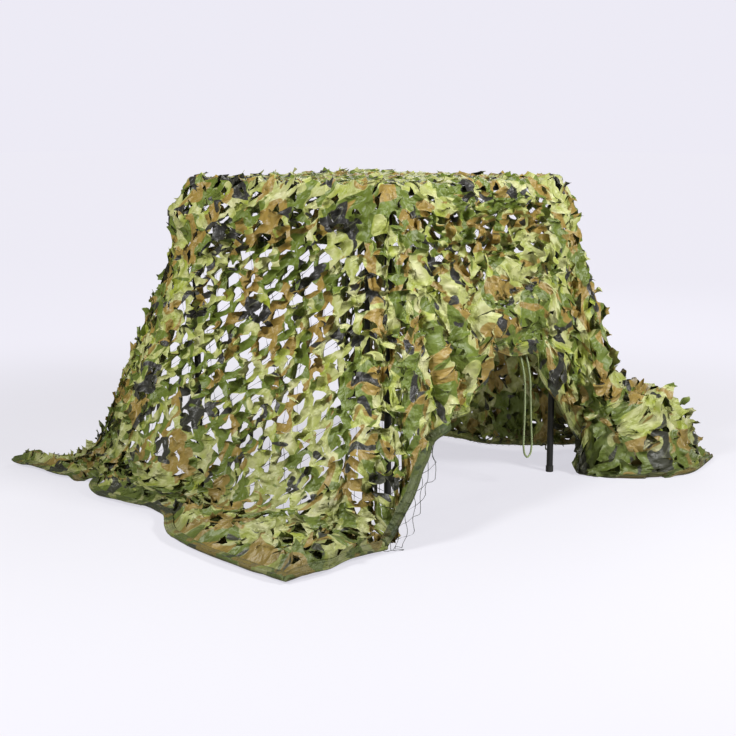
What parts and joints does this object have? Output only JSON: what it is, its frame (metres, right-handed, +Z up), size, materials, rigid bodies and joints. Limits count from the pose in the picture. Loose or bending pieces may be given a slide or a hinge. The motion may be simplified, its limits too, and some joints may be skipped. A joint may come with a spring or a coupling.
{
  "type": "camouflage net over tube frame",
  "caption": "Leaf-cut woodland camouflage net with taped edges, draped as a small shelter over a square frame of black tubes, its front hem lifted and a draw cord hanging from it.",
  "frame": {"origin": "centre of the draped net's plan, on the ground", "axes": "+Z up; +X along the net's long side, from the wall that reaches the ground on the left to the heap on the right; +Y from the lifted front to the back"},
  "size_m": [1.9744, 1.848, 1.0236],
  "materials": {
    "leaf_cut_cloth": "woodland print, slightly lustrous",
    "edge_tape": "woven tape in the same print",
    "sage_cord": "braided, matte",
    "black_tube": "semi-gloss black",
    "black_fitting": "satin",
    "black_foot": "matte"
  },
  "bodies": {
    "root": {"net_cloth": "leaf_cut_cloth", "tape_front": "edge_tape", "tape_right": "edge_tape", "tape_back": "edge_tape", "tape_left": "edge_tape", "draw_cord": "sage_cord", "foot_near": "black_foot", "post_near": "black_tube", "fitting_near": "black_fitting", "foot_right": "black_foot", "post_right": "black_tube", "fitting_right": "black_fitting", "foot_left": "black_foot", "post_left": "black_tube", "fitting_left": "black_fitting", "foot_far": "black_foot", "post_far": "black_tube", "fitting_far": "black_fitting", "rail_front": "black_tube", "rail_back": "black_tube", "rail_left": "black_tube", "rail_right": "black_tube"}
  },
  "joints": []
}
